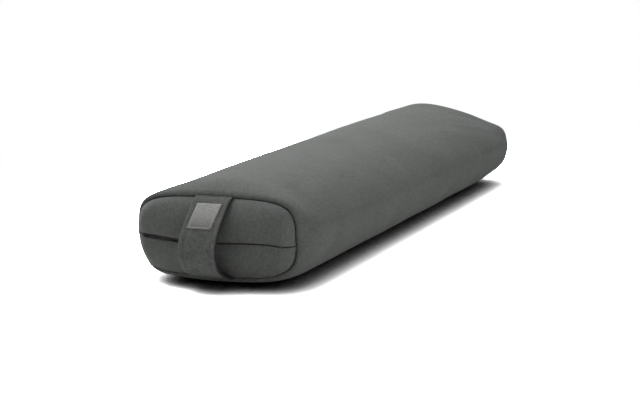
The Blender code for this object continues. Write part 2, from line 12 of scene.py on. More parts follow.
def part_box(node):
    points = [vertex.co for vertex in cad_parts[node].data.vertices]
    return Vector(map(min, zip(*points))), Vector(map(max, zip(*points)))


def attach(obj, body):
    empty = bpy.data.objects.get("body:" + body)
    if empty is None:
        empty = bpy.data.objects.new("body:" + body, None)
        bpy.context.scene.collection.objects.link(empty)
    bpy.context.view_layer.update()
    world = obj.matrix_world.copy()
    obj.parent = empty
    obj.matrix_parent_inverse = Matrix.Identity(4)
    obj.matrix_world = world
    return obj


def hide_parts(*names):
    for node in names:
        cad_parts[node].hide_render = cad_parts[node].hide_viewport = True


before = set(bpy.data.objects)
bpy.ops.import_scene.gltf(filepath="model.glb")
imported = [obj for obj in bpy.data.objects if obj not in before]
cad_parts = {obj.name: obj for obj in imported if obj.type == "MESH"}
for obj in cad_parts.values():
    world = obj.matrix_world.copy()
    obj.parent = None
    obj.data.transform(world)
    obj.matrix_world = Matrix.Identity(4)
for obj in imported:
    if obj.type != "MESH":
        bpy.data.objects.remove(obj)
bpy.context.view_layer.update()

print("frame loaded")


def addObject(name, data):
    added = bpy.data.objects.new(name, data)
    bpy.context.scene.collection.objects.link(added)
    return added


# Camera, lamps and floor

photo = {"width": 640, "focal": 1370.9, "distance": 1.8848, "seesTo": 30,
         "azimuth": 25.1861, "elevation": 10.676, "roll": -1.7415, "target": (-0.1037, 0.1447, 0.0)}


def makeCamera():
    azimuth, elevation, roll = (math.radians(photo[key]) for key in ("azimuth", "elevation", "roll"))
    back = Vector((math.sin(azimuth) * math.cos(elevation), -math.cos(azimuth) * math.cos(elevation),
                   math.sin(elevation)))
    level = Vector((math.cos(azimuth), math.sin(azimuth), 0))
    upright = back.cross(level)
    right = level * math.cos(roll) + upright * math.sin(roll)
    up = upright * math.cos(roll) - level * math.sin(roll)
    camera = addObject("photoCamera", bpy.data.cameras.new("photoCamera"))
    camera.data.lens = photo["focal"] / photo["width"] * camera.data.sensor_width
    camera.data.clip_end = photo["seesTo"]
    place = Vector(photo["target"]) + back * photo["distance"]
    camera.matrix_world = Matrix.LocRotScale(place, Matrix((right, up, back)).transposed(), None)
    bpy.context.scene.camera = camera


studio = {"aim": (-0.1, 0.0, 0.03), "keyPlace": (-0.64, 0.0, 0.87), "keySize": 1.2, "keyPower": 14.4,
          "sidePlace": (1.40, -0.40, 0.40), "sideSize": 1.2, "sidePower": 5.8, "worldLight": 0.17,
          "floorSize": 12, "floorColour": 0.9, "floorSeen": 20.0, "shadowReach": (0.50, 0.80),
          "shadowMiddle": (0, 0.02, 0), "contactReach": 0.035, "contactPower": 2.7, "contactSamples": 8}


def makeLamp(name, place, size, power):
    lamp = addObject(name, bpy.data.lights.new(name, "AREA"))
    lamp.data.size = size
    lamp.data.energy = power
    lamp.location = place
    lamp.rotation_euler = (Vector(place) - Vector(studio["aim"])).to_track_quat("Z", "Y").to_euler()


def makeWorld():
    world = bpy.data.worlds.new("paleWorld")
    bpy.context.scene.world = world
    world.use_nodes = True
    nodes, links = world.node_tree.nodes, world.node_tree.links
    light, seen = nodes["Background"], nodes.new("ShaderNodeBackground")
    for background, strength in ((light, studio["worldLight"]), (seen, 1)):
        background.inputs["Color"].default_value = (1, 1, 1, 1)
        background.inputs["Strength"].default_value = strength
    mix = mixOf(nodes, links, seenRays(nodes, links), light, seen)
    links.new(mix.outputs[0], nodes["World Output"].inputs["Surface"])


def makeFloor():
    floorMesh = bpy.data.meshes.new("floor")
    bm = bmesh.new()
    bmesh.ops.create_grid(bm, x_segments=1, y_segments=1, size=studio["floorSize"] / 2)
    bm.to_mesh(floorMesh)
    bm.free()
    floor = addObject("floor", floorMesh)
    material = bpy.data.materials.new("paleFloor")
    material.use_nodes = True
    nodes, links = material.node_tree.nodes, material.node_tree.links
    nodes.remove(nodes["Principled BSDF"])
    lit = nodes.new("ShaderNodeBsdfDiffuse")
    lit.inputs["Color"].default_value = (studio["floorColour"],) * 3 + (1,)
    shown = nodes.new("ShaderNodeBsdfDiffuse")
    links.new(contactShade(nodes, links), shown.inputs["Color"])
    beyond = nodes.new("ShaderNodeEmission")
    beyond.inputs["Color"].default_value = (1, 1, 1, 1)
    near = mixOf(nodes, links, farShare(nodes, links), shown, beyond)
    mix = mixOf(nodes, links, seenRays(nodes, links), lit, near)
    links.new(mix.outputs[0], nodes["Material Output"].inputs["Surface"])
    floorMesh.materials.append(material)


def farShare(nodes, links):
    # 0 where the floor holds the shadow, 1 where it is plain background
    place = nodes.new("ShaderNodeTexCoord")
    distance = nodes.new("ShaderNodeVectorMath")
    distance.operation = "DISTANCE"
    distance.inputs[1].default_value = studio["shadowMiddle"]
    links.new(place.outputs["Object"], distance.inputs[0])
    fade = nodes.new("ShaderNodeMapRange")
    fade.interpolation_type = "SMOOTHSTEP"
    fade.inputs["From Min"].default_value, fade.inputs["From Max"].default_value = studio["shadowReach"]
    links.new(distance.outputs["Value"], fade.inputs["Value"])
    return fade.outputs["Result"]


def contactShade(nodes, links):
    # the floor as the camera sees it, darker in the narrow gap under the object
    near = nodes.new("ShaderNodeAmbientOcclusion")
    near.inputs["Distance"].default_value = studio["contactReach"]
    near.samples = studio["contactSamples"]
    path = nodes.new("ShaderNodeLightPath")
    shade, gain, whole = (nodes.new("ShaderNodeMath") for _ in range(3))
    shade.operation, gain.operation, whole.operation = "POWER", "MULTIPLY_ADD", "MULTIPLY"
    links.new(near.outputs["AO"], shade.inputs[0])
    shade.inputs[1].default_value = studio["contactPower"]
    links.new(path.outputs["Is Camera Ray"], gain.inputs[0])
    gain.inputs[1].default_value, gain.inputs[2].default_value = studio["floorSeen"] - 1, 1
    links.new(shade.outputs[0], whole.inputs[0])
    links.new(gain.outputs[0], whole.inputs[1])
    return whole.outputs[0]


def seenRays(nodes, links):
    # 1 where the camera, a reflection or glass looks at the surface
    path = nodes.new("ShaderNodeLightPath")
    total = path.outputs["Is Camera Ray"]
    for ray in ("Is Glossy Ray", "Is Transmission Ray"):
        add = nodes.new("ShaderNodeMath")
        add.operation = "MAXIMUM"
        links.new(total, add.inputs[0])
        links.new(path.outputs[ray], add.inputs[1])
        total = add.outputs[0]
    return total


def mixOf(nodes, links, share, first, second):
    mix = nodes.new("ShaderNodeMixShader")
    for socket, value in zip(mix.inputs, (share, first.outputs[0], second.outputs[0])):
        links.new(value, socket)
    return mix


makeCamera()
makeLamp("softKey", studio["keyPlace"], studio["keySize"], studio["keyPower"])
makeLamp("sideFill", studio["sidePlace"], studio["sideSize"], studio["sidePower"])
makeWorld()
makeFloor()
bpy.context.scene.view_settings.view_transform = "Standard"
print("camera, lamps and floor placed")

# Materials


def newMaterial(name, colour, roughness, specular, sheen):
    material = bpy.data.materials.new(name)
    material.use_nodes = True
    inputs = material.node_tree.nodes["Principled BSDF"].inputs
    inputs["Base Color"].default_value = (*colour, 1)
    inputs["Roughness"].default_value = roughness
    inputs["Specular IOR Level"].default_value = specular
    inputs["Sheen Weight"].default_value = sheen
    return material


def coordinates(material, source, scale=(1, 1, 1)):
    nodes, links = material.node_tree.nodes, material.node_tree.links
    place = nodes.new("ShaderNodeTexCoord")
    mapping = nodes.new("ShaderNodeMapping")
    mapping.inputs["Scale"].default_value = scale
    links.new(place.outputs[source], mapping.inputs["Vector"])
    return mapping.outputs[0]


def noiseOf(material, where, scale, detail, roughness, distortion=0.0):
    nodes, links = material.node_tree.nodes, material.node_tree.links
    texture = nodes.new("ShaderNodeTexNoise")
    texture.inputs["Scale"].default_value = scale
    texture.inputs["Detail"].default_value = detail
    texture.inputs["Roughness"].default_value = roughness
    texture.inputs["Distortion"].default_value = distortion
    links.new(where, texture.inputs["Vector"])
    return texture.outputs["Fac"]


def rampOf(material, value, places, colours):
    nodes, links = material.node_tree.nodes, material.node_tree.links
    ramp = nodes.new("ShaderNodeValToRGB")
    while len(ramp.color_ramp.elements) < len(places):
        ramp.color_ramp.elements.new(0.5)
    for element, place, colour in zip(ramp.color_ramp.elements, places, colours):
        element.position = place
        element.color = (*colour, 1)
    links.new(value, ramp.inputs["Fac"])
    return ramp.outputs["Color"]


def mathOf(material, operation, first, second):
    nodes, links = material.node_tree.nodes, material.node_tree.links
    node = nodes.new("ShaderNodeMath")
    node.operation = operation
    for socket, value in zip(node.inputs, (first, second)):
        if isinstance(value, (int, float)):
            socket.default_value = value
        else:
            links.new(value, socket)
    return node.outputs[0]


def blendOf(material, mode, share, first, second):
    # sockets 0, 6 and 7 are the share and the two colours
    nodes, links = material.node_tree.nodes, material.node_tree.links
    node = nodes.new("ShaderNodeMix")
    node.data_type = "RGBA"
    node.blend_type = mode
    for socket, value in ((node.inputs[0], share), (node.inputs[6], first), (node.inputs[7], second)):
        if isinstance(value, (int, float)):
            socket.default_value = value
        elif isinstance(value, tuple):
            socket.default_value = (*value, 1)
        else:
            links.new(value, socket)
    return node.outputs[2]


def setColour(material, colour):
    material.node_tree.links.new(colour, material.node_tree.nodes["Principled BSDF"].inputs["Base Color"])


def setBump(material, height, distance):
    nodes, links = material.node_tree.nodes, material.node_tree.links
    bump = nodes.new("ShaderNodeBump")
    bump.inputs["Distance"].default_value = distance
    bump.inputs["Strength"].default_value = 1
    links.new(height, bump.inputs["Height"])
    links.new(bump.outputs[0], nodes["Principled BSDF"].inputs["Normal"])


def uneven(material, value, colour, share, places):
    # the colour, darker and then lighter by the same share, as a texture's value goes between two places
    tones = [tuple(channel * (1 + side * share) for channel in colour) for side in (-1, 1)]
    return rampOf(material, value, places, tones)


def multiplied(material, colour, paintedShades):
    return blendOf(material, "MULTIPLY", 1.0, colour, paintedShades)


white = (1, 1, 1)
suede = {"colour": (0.142, 0.150, 0.143), "roughness": 0.95, "specular": 0.15, "sheen": 0.12,
         "napSize": 11, "napShade": 0.08, "napPlaces": (0.3, 0.7),
         "grainSize": 850, "grainShade": 0.27, "grainPlaces": (0.25, 0.75), "grainDepth": 0.00012,
         "brushSize": 260, "brushShade": 0.11, "brushPlaces": (0.3, 0.7), "brushStretch": (1, 0.45, 1),
         "brushHeight": 1.5, "speckSize": 420, "speckPlaces": (0.70, 0.80), "speckShare": 0.3,
         "speckColour": (0.30, 0.315, 0.30)}


def makeSuede(name, facts):
    # brushed microfibre: a nap that lies lighter and darker, a fine grain and a few light fibres
    material = newMaterial(name, facts["colour"], facts["roughness"], facts["specular"], facts["sheen"])
    where = coordinates(material, "Object")
    nap = noiseOf(material, where, facts["napSize"], detail=3, roughness=0.55, distortion=0.6)
    grain = noiseOf(material, where, facts["grainSize"], detail=2, roughness=0.6)
    colour = uneven(material, nap, facts["colour"], facts["napShade"], facts["napPlaces"])
    fine = uneven(material, grain, white, facts["grainShade"], facts["grainPlaces"])
    stretched = coordinates(material, "Object", facts["brushStretch"])
    brushed = noiseOf(material, stretched, facts["brushSize"], detail=3, roughness=0.7, distortion=0.5)
    strokes = uneven(material, brushed, white, facts["brushShade"], facts["brushPlaces"])
    colour = multiplied(material, multiplied(material, colour, fine), strokes)
    speck = noiseOf(material, where, facts["speckSize"], detail=1, roughness=0.4)
    fibres = rampOf(material, speck, facts["speckPlaces"], ((0, 0, 0), (facts["speckShare"],) * 3))
    setColour(material, blendOf(material, "MIX", fibres, colour, facts["speckColour"]))
    raised = mathOf(material, "MULTIPLY", brushed, facts["brushHeight"])
    setBump(material, mathOf(material, "ADD", grain, raised), facts["grainDepth"])
    return material


weave = {"waveBand": 0.314, "wander": 0.4, "wanderSize": 2, "threadPlaces": (0.15, 1.0), "fuzzSize": 700,
         "fuzzHeight": 0.5, "patchSize": 620, "patchPlaces": (0.3, 0.7), "specular": 0.3,
         "sheen": 0.1}  # waveBand is the width of a wave texture's band at scale 1


def makeWeave(name, colour, pitch, contrast=0.3, depth=0.0001, source="UV", roughness=0.9, mottled=0.0):
    # a plain weave of warp and weft, on the piece's own UV map in metres or on its object coordinates
    material = newMaterial(name, colour, roughness, weave["specular"], weave["sheen"])
    where = coordinates(material, source)
    nodes, links = material.node_tree.nodes, material.node_tree.links
    threads = []
    for direction in ("X", "Y"):
        wave = nodes.new("ShaderNodeTexWave")
        wave.bands_direction = direction
        wave.inputs["Scale"].default_value = weave["waveBand"] / (2 * pitch)
        wave.inputs["Distortion"].default_value = weave["wander"]
        wave.inputs["Detail Scale"].default_value = weave["wanderSize"]
        links.new(where, wave.inputs["Vector"])
        threads.append(wave.outputs["Fac"])
    cloth = mathOf(material, "MULTIPLY", threads[0], threads[1])
    fuzz = noiseOf(material, where, weave["fuzzSize"], detail=2, roughness=0.6)
    height = mathOf(material, "ADD", cloth, mathOf(material, "MULTIPLY", fuzz, weave["fuzzHeight"]))
    woven = uneven(material, height, colour, contrast, weave["threadPlaces"])
    if mottled:
        patches = noiseOf(material, where, weave["patchSize"], detail=2, roughness=0.7)
        woven = multiplied(material, woven, uneven(material, patches, white, mottled, weave["patchPlaces"]))
    setColour(material, woven)
    setBump(material, height, depth)
    return material


def shadeAlong(material, axis, length, paintedShades):
    # painted shade along one axis of a strip's UV map in metres, multiplied into its colour; shades are
    # (share of the length, shade)
    split = material.node_tree.nodes.new("ShaderNodeSeparateXYZ")
    material.node_tree.links.new(coordinates(material, "UV"), split.inputs[0])
    along = mathOf(material, "DIVIDE", split.outputs[axis], length)
    base = material.node_tree.nodes["Principled BSDF"].inputs["Base Color"].links[0].from_socket
    paintedShade = rampOf(material, along, [place for place, _ in paintedShades], [(shade,) * 3 for _, shade in paintedShades])
    setColour(material, multiplied(material, base, paintedShade))


speckled = {"patchSize": 12, "patchHeight": 0.6, "places": (0.3, 1.0)}  # patchSize is in grains


def makeSpeckled(name, colour, size, shade, depth, roughness, cells=False, specular=0.3, sheen=0.0):
    # fibre, foam, moulded plastic and painted metal: uneven colour with a raised texture of its own size
    material = newMaterial(name, colour, roughness, specular, sheen)
    where = coordinates(material, "Object")
    patches = noiseOf(material, where, size / speckled["patchSize"], detail=3, roughness=0.6, distortion=0.8)
    if cells:
        texture = material.node_tree.nodes.new("ShaderNodeTexVoronoi")
        texture.inputs["Scale"].default_value = size
        material.node_tree.links.new(where, texture.inputs["Vector"])
        fine = texture.outputs["Distance"]
    else:
        fine = noiseOf(material, where, size, detail=4, roughness=0.6, distortion=0.4)
    height = mathOf(material, "ADD", fine, mathOf(material, "MULTIPLY", patches, speckled["patchHeight"]))
    setColour(material, uneven(material, height, colour, shade, speckled["places"]))
    setBump(material, height, depth)
    return material


strapFinish = {**suede, "colour": (0.140, 0.147, 0.140), "napSize": 70, "napShade": 0.16, "grainSize": 900,
               "grainShade": 0.34, "grainDepth": 0.0004, "speckSize": 430, "speckShare": 0.6, "sheen": 0.02}
coverSuede = makeSuede("coverSuede", suede)
strapSuede = makeSuede("strapSuede", strapFinish)
# the seam thread is darker than the cloth: partly its own colour, partly painted shade where the stitches
# sink into the cloth
strapThread = makeWeave("seamThread", (0.080, 0.083, 0.079), pitch=0.0004, source="Object", roughness=0.6)
labelWeave = makeWeave("labelWeave", (0.48, 0.486, 0.462), pitch=0.0006, mottled=0.28)
labelThread = makeWeave("labelThread", (0.62, 0.62, 0.59), pitch=0.0004, source="Object", roughness=0.6)
tapeWeave = makeWeave("zipTapeWeave", (0.035, 0.037, 0.038), pitch=0.0008, depth=0.0002)
linerWeave = makeWeave("linerCotton", (0.72, 0.70, 0.65), pitch=0.0007, contrast=0.12)
coilPlastic = makeSpeckled("coilPlastic", (0.30, 0.305, 0.30), size=900, shade=0.15, depth=0.00004,
                           roughness=0.4, specular=0.5)
paintedZinc = makeSpeckled("paintedZinc", (0.050, 0.052, 0.054), size=1400, shade=0.3, depth=0.00003,
                           roughness=0.35, specular=0.6)
fibre = makeSpeckled("polyesterFibre", (0.80, 0.80, 0.78), size=260, shade=0.14, depth=0.0016, roughness=0.95,
                     sheen=0.3)
foam = makeSpeckled("openCellFoam", (0.68, 0.62, 0.42), size=900, shade=0.25, depth=0.0006, roughness=0.9,
                    cells=True)
print("materials made")

# The body's form, which the cover, the liner and the filling share

bolster = {"length": 0.682, "frontSeam": -0.329, "width": 0.2157, "height": 0.1113, "widest": 0.0628,
           "girth": 0.54, "topAcross": 1.9, "topUp": 1.6, "bottomRound": 2.5, "seamWidth": 0.183,
           "seamHeight": 0.0855, "seamCentre": 0.053, "seamRound": (4.5, 3.1), "edgeRoll": 0.0034,
           "swell": 0.0425, "swellCurve": 3, "fillCurve": 2.2, "floorFlat": 0.0012, "tilt": 0.095,
           "waves": 0.0005, "waveSize": 9.0, "waveFade": 0.02}
bolster["rearSeam"] = bolster["frontSeam"] + bolster["length"]
bolster["nudges"] = (  # where the filling lies a little fuller or slacker: middle, reach, shift
    ((-0.100, -0.310, 0.050), 0.040, (0.0013, 0, 0)),
    ((-0.075, -0.305, 0.092), 0.032, (0.0010, 0, -0.0012)),
    ((-0.088, -0.335, 0.028), 0.018, (0.0028, 0, 0)),
    ((-0.072, -0.328, 0.014), 0.020, (-0.0032, 0, -0.0022)),
    ((0.036, -0.327, 0.009), 0.030, (0, 0, 0.0008)),
    ((0.080, 0.330, 0.095), 0.035, (0, 0, -0.0034)),
    ((0.076, 0.350, 0.087), 0.022, (-0.0004, 0, -0.0026)),
    ((-0.090, 0.350, 0.095), 0.026, (0.0030, 0, -0.0020)),
    ((-0.022, 0.335, 0.110), 0.033, (0, 0, 0.0026)),
    ((-0.060, 0.330, 0.106), 0.019, (0.0006, 0, -0.0030)),
    ((0.101, 0.345, 0.050), 0.030, (-0.0012, 0, 0)),
    ((0.100, 0.340, 0.078), 0.024, (0.0040, 0, 0.0010)),
    ((0.066, 0.336, 0.009), 0.040, (-0.0015, 0, 0.0020)))


def quarterLine(halfWidth, height, across, upwards, count, samples=241):
    # from the side to the top or bottom of a cross section, in even steps
    angle = np.linspace(0, math.pi / 2, samples)
    x = halfWidth * np.cos(angle).clip(0) ** (2 / across)
    z = height * np.sin(angle) ** (2 / upwards)
    run = np.concatenate([[0], np.cumsum(np.hypot(np.diff(x), np.diff(z)))])
    steps = np.linspace(0, run[-1], count + 1)
    return np.stack([np.interp(steps, run, x), np.interp(steps, run, z)], axis=1)


def sectionRing(depth, inset, columns):
    # the body's cross section behind the nearer seam, round from the middle of the underside
    b = bolster
    behind = max(depth, 0)
    share = min(behind / b["swell"], 1)
    swell, filled = 1 - (1 - share) ** b["swellCurve"], 1 - (1 - share) ** b["fillCurve"]
    turn = b["edgeRoll"] - min(behind, b["edgeRoll"])
    roll = b["edgeRoll"] - math.sqrt(b["edgeRoll"] ** 2 - turn ** 2) + inset

    def between(seam, middle, by):
        return seam + (middle - seam) * by

    half = between(b["seamWidth"] / 2 + b["edgeRoll"], b["width"] / 2, swell) - roll
    up = between(b["seamHeight"] / 2 + b["edgeRoll"], b["height"] - b["widest"], swell) - roll
    down = between(b["seamHeight"] / 2 + b["edgeRoll"], b["widest"] + b["floorFlat"], filled) - roll
    middle = between(b["seamCentre"], b["widest"], swell)
    count = columns // 4
    sewn = [quarterLine(1, 1, n, n, count) for n in b["seamRound"]]
    full = [quarterLine(1, 1, b["topAcross"], b["topUp"], count),
            quarterLine(1, 1, b["bottomRound"], b["bottomRound"], count)]
    above, below = (between(sewn[i], full[i], filled) for i in (0, 1))
    right = np.vstack([below[::-1] * (half, -down), above[1:] * (half, up)])
    left = right[::-1] * (-1, 1)
    return np.vstack([right, left[1:]]) + (0, middle)


def settle(point):
    # the soft lean of the filling: the far left edge lies higher, and nothing goes through the floor
    x, y, z = point
    back = (y - bolster["frontSeam"]) / bolster["length"]
    z -= bolster["tilt"] * back * x * min(max(z / bolster["height"], 0), 1)
    for middle, reach, shift in bolster["nudges"]:
        away = (x - middle[0]) ** 2 + (y - middle[1]) ** 2 + (z - middle[2]) ** 2
        share = math.exp(-away / reach ** 2)
        x, y, z = x + shift[0] * share, y + shift[1] * share, z + shift[2] * share
    wave = noise.noise(Vector((x, y, z)) * bolster["waveSize"]) * bolster["waves"]
    return Vector((x + wave * (1 if x > 0 else -1), y, max(z + wave * min(z / bolster["waveFade"], 1), 0)))


def shapedGrid(across, along, place):
    # a grid whose corners are moved by place(column, row); its UV map is scaled by setFlatSize
    bm = bmesh.new()
    bm.loops.layers.uv.new("cloth")
    bmesh.ops.create_grid(bm, x_segments=across, y_segments=along, size=1, calc_uvs=True)
    for vert in bm.verts:
        column, row = round((vert.co.x + 1) / 2 * across), round((vert.co.y + 1) / 2 * along)
        vert.co = place(column, row)
    return bm


def setFlatSize(bm, width, length):
    layer = bm.loops.layers.uv.active
    for face in bm.faces:
        for loop in face.loops:
            loop[layer].uv = (loop[layer].uv.x * width, loop[layer].uv.y * length)


def faceAwayFrom(bm, centre):
    bm.normal_update()
    outwards = 0
    for face in bm.faces:
        outwards += face.normal.dot(face.calc_center_median() - Vector(centre)) * face.calc_area()
    if outwards < 0:
        bmesh.ops.reverse_faces(bm, faces=bm.faces)


def makePiece(name, bm, material, replaced, smooth=True):
    mesh = bpy.data.meshes.new(name)
    bm.to_mesh(mesh)
    bm.free()
    for face in mesh.polygons:
        face.use_smooth = smooth
    mesh.materials.append(material)
    piece = addObject(name, mesh)
    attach(piece, "cushion")
    if replaced:
        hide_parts(*replaced)
    return piece


def thicken(piece, thickness):
    # a wall of even thickness behind the piece's outer face
    wall = piece.modifiers.new("clothThickness", "SOLIDIFY")
    wall.thickness = thickness
    wall.offset = -1
    wall.use_even_offset = True


def makePadded(name, bm, material, node, facts):
    piece = makePiece(name, bm, material, [node])
    thicken(piece, facts["cloth"])


def bodyStations(start, fine, coarse):
    # places of rings along the body, close together at the ends: fine gives depths behind the seams
    close = [depth for depth in fine if depth > start]
    span = bolster["length"] - 2 * close[-1]
    count = round(span / coarse)
    front = [bolster["frontSeam"] + depth for depth in [start, *close]]
    middle = [front[-1] + span * (i + 1) / count for i in range(count - 1)]
    rear = [bolster["rearSeam"] - depth for depth in [*reversed(close), start]]
    return front + middle + rear


def bodyTube(columns, start, inset, fine, coarse, lead=()):
    # a sleeve along the body. lead gives rings that turn in behind the seam, as (depth, inset)
    rows = [(min(y - bolster["frontSeam"], bolster["rearSeam"] - y), inset, y)
            for y in bodyStations(start, fine, coarse)]
    front = [(0, extra, bolster["frontSeam"] + depth) for depth, extra in lead]
    rear = [(0, extra, bolster["rearSeam"] - depth) for depth, extra in reversed(lead)]
    rings = [(sectionRing(depth, shift, columns), y) for depth, shift, y in front + rows + rear]

    def place(column, row):
        ring, y = rings[row]
        return settle((ring[column][0], y, ring[column][1]))

    bm = shapedGrid(columns, len(rings) - 1, place)
    setFlatSize(bm, bolster["girth"], bolster["length"])
    bmesh.ops.remove_doubles(bm, verts=bm.verts, dist=0.00001)
    faceAwayFrom(bm, (0, 0, bolster["seamCentre"]))
    return bm


# The filling's pressure on the cover, as a cloth simulation of a coarse closed copy

pressing = {"columns": 48, "inset": 0.002, "depths": (0.01, 0.02, 0.04), "step": 0.02, "voxel": 0.006,
            "crown": (0.006, 0.004, 0.003, 0.002), "crownStep": 0.010, "seamPin": 0.007, "floorPin": 0.003,
            "pressure": 4.0, "frames": 20, "extraCloth": 0.010, "mass": 0.3, "quality": 6, "tension": 12.0,
            "bending": 0.6, "broadSteps": 60, "share": 0.28, "most": 0.0012,
            "neighbours": 8, "nearest": 0.002, "seamFade": 0.022, "floorFade": 0.015}


def makePressedCopy():
    # the body's sleeve, closed by crowned ends and remeshed into even cloth
    bm = bodyTube(pressing["columns"], 0.0, pressing["inset"], pressing["depths"], pressing["step"])
    border = [edge for edge in bm.edges if edge.is_boundary]
    ends = [[edge for edge in border if edge.verts[0].co.y * side > 0] for side in (-1, 1)]
    for edges, side in zip(ends, (-1, 1)):
        face = bmesh.ops.contextual_create(bm, geom=edges)["faces"][0]
        for out in pressing["crown"]:
            bmesh.ops.inset_region(bm, faces=[face], thickness=pressing["crownStep"], use_even_offset=True)
            bmesh.ops.translate(bm, vec=(0, out * side, 0), verts=face.verts)
    mesh = bpy.data.meshes.new("pressedCopy")
    bm.to_mesh(mesh)
    bm.free()
    copy = addObject("pressedCopy", mesh)
    remesh = copy.modifiers.new("evenCloth", "REMESH")
    remesh.mode, remesh.voxel_size = "VOXEL", pressing["voxel"]
    copy.data = bpy.data.meshes.new_from_object(copy.evaluated_get(bpy.context.evaluated_depsgraph_get()))
    copy.modifiers.clear()
    return copy


def smoothedOver(moved, edges):
    # the broad part of the moves: each point's move averaged with its neighbours', many times
    broad = moved.copy()
    for _ in range(pressing["broadSteps"]):
        total, count = broad.copy(), np.ones((len(broad), 1))
        for first, second in (edges.T, edges.T[::-1]):
            np.add.at(total, first, broad[second])
            np.add.at(count, first, 1)
        broad = total / count
    return broad


def pressCover():
    # returns the rest points of the coarse copy and how far the pressure moves each
    copy = makePressedCopy()
    rest = [vert.co.copy() for vert in copy.data.vertices]
    seams = (bolster["frontSeam"], bolster["rearSeam"])
    held = copy.vertex_groups.new(name="held")
    held.add([i for i, point in enumerate(rest) if point.z < pressing["floorPin"]
              or min(abs(point.y - seam) for seam in seams) < pressing["seamPin"]], 1.0, "REPLACE")
    cloth = copy.modifiers.new("pressure", "CLOTH")
    facts = cloth.settings
    facts.use_pressure, facts.uniform_pressure_force = True, pressing["pressure"]
    facts.effector_weights.gravity = 0
    facts.mass, facts.quality = pressing["mass"], pressing["quality"]
    facts.shrink_min = -pressing["extraCloth"]
    facts.tension_stiffness = facts.compression_stiffness = pressing["tension"]
    facts.bending_stiffness = pressing["bending"]
    facts.vertex_group_mass = "held"
    scene = bpy.context.scene
    cloth.point_cache.frame_start, cloth.point_cache.frame_end = 1, pressing["frames"]
    for step in range(1, pressing["frames"] + 1):
        scene.frame_set(step)
    swollen = copy.evaluated_get(bpy.context.evaluated_depsgraph_get()).to_mesh()
    moved = np.array([vert.co - point for vert, point in zip(swollen.vertices, rest)])
    edges = np.array([edge.vertices[:] for edge in copy.data.edges])
    copy.modifiers.clear()
    scene.frame_set(1)
    bpy.data.objects.remove(copy)
    # the forms here already have the broad swelling, so only the finer part is kept
    moved = (moved - smoothedOver(moved, edges)) * pressing["share"]
    length = np.linalg.norm(moved, axis=1)
    moved *= (np.minimum(length, pressing["most"]) / np.maximum(length, 1e-9))[:, None]
    print("cover pressed:", len(rest), "points, before the cap most", round(float(length.max()), 5),
          "and typically", round(float(length.mean()), 5))
    return rest, moved


pressed = pressCover()


def pressPiece(bm):
    # moves a fine piece as the coarse pressed copy moves near it
    if pressed is None:
        return
    rest, moved = pressed
    tree = KDTree(len(rest))
    for index, point in enumerate(rest):
        tree.insert(point, index)
    tree.balance()
    for vert in bm.verts:
        depth = min(vert.co.y - bolster["frontSeam"], bolster["rearSeam"] - vert.co.y)
        if depth <= 0:
            continue
        near = tree.find_n(vert.co, pressing["neighbours"])
        weights = np.array([1 / (distance + pressing["nearest"]) ** 2 for _, _, distance in near])
        move = weights @ moved[[index for _, index, _ in near]] / weights.sum()
        fade = min(depth / pressing["seamFade"], 1)
        vert.co += Vector(move) * fade * min(vert.co.z / pressing["floorFade"], 1)


# The cover's long wrap

wrap = {"columns": 144, "step": 0.006, "cloth": 0.0016, "fill": 0.85, "seamSink": 0.0012, "seamWide": 0.0025,
        "turnedIn": ((0.0050, 0.0016), (0.0022, 0.0009)),
        "depths": (0.0006, 0.0013, 0.0022, 0.0032, 0.004, 0.0065, 0.0095, 0.013, 0.017, 0.021, 0.026, 0.031,
                   0.037, 0.043)}


def makeWrap():
    bm = bodyTube(wrap["columns"], 0.0, 0.0, wrap["depths"], wrap["step"], wrap["turnedIn"])
    pressPiece(bm)
    for vert in bm.verts:  # the lengthwise seam that closes the wrap, under the body
        if vert.co.z < bolster["seamCentre"]:
            vert.co.z += wrap["seamSink"] * math.exp(-(vert.co.x / wrap["seamWide"]) ** 2)
    makePadded("coverWrap", bm, coverSuede, "wrap_panel", wrap)


makeWrap()
print("wrap made")

# The end panels

frontEnd = {"crown": 0.0185, "square": 2.7, "full": 0.76, "straight": 0.86, "turn": 0.55, "edge": 0.0012,
            "zipCrown": 0.0150, "valley": 0.007, "zipDrop": 0.0020, "reach": 0.09,
            "lipClosed": 0.0010, "lipOpen": 0.0045, "lipSteep": 3, "lipTaper": 0.25,
            "lipAt": (-0.0895, -0.070, -0.057, -0.031, 0.016, 0.047, 0.073, 0.0895),
            "lipRise": (0.0042, 0.0022, 0.0013, -0.0009, -0.0004, 0.0012, 0.0012, -0.0015),
            "lipSmooth": (-0.01, -0.005, 0, 0.005, 0.01),
            "lipRoll": ((0.0002, 0.0036), (0.0, 0.0018), (0.0002, 0.0006), (0.0008, 0.0)),  # rise, depth
            "lipTop": 0.0012, "faceStart": 0.002,  # rises above the lip where its rolled edge meets the face
            "seamSteps": ((0.0014, 0.0), (0.0050, 0.0008)),  # depth, inset of the edge turned in at the seam
            "columns": 72, "rows": 22, "stepCurve": 1.7, "cloth": 0.0016, "fill": 0.7}
rearEnd = {"crown": 0.016, "square": 3.6, "full": 0.66, "inset": 0.0, "start": 0.0012, "cloth": 0.0016,
           "fill": 0.7, "steps": 44}
behindFront = (0, 0.3, bolster["seamCentre"])  # pieces at the front end face away from here


def crownShare(reach, square, full):
    return (1 - min(reach, 1) ** square) ** full


def panelPlace(s, t):
    # a square's point moved to the seam's outline, and its share of the way from the middle to the seam
    most = max(abs(s), abs(t))
    if most == 0:
        return 0.0, 0.0, 0.0
    n = bolster["seamRound"][0 if t > 0 else 1]
    factor = most / (abs(s) ** n + abs(t) ** n) ** (1 / n)
    x = s * factor * (bolster["seamWidth"] / 2 - frontEnd["edge"])
    z = t * factor * (bolster["seamHeight"] / 2 - frontEnd["edge"])
    return x, z, most


def panelPoint(x, y, z):
    return settle((x, bolster["frontSeam"] + y, bolster["seamCentre"] + z))


def eased(share):
    # closer steps towards the seam
    return 1 - (1 - share) ** frontEnd["stepCurve"]


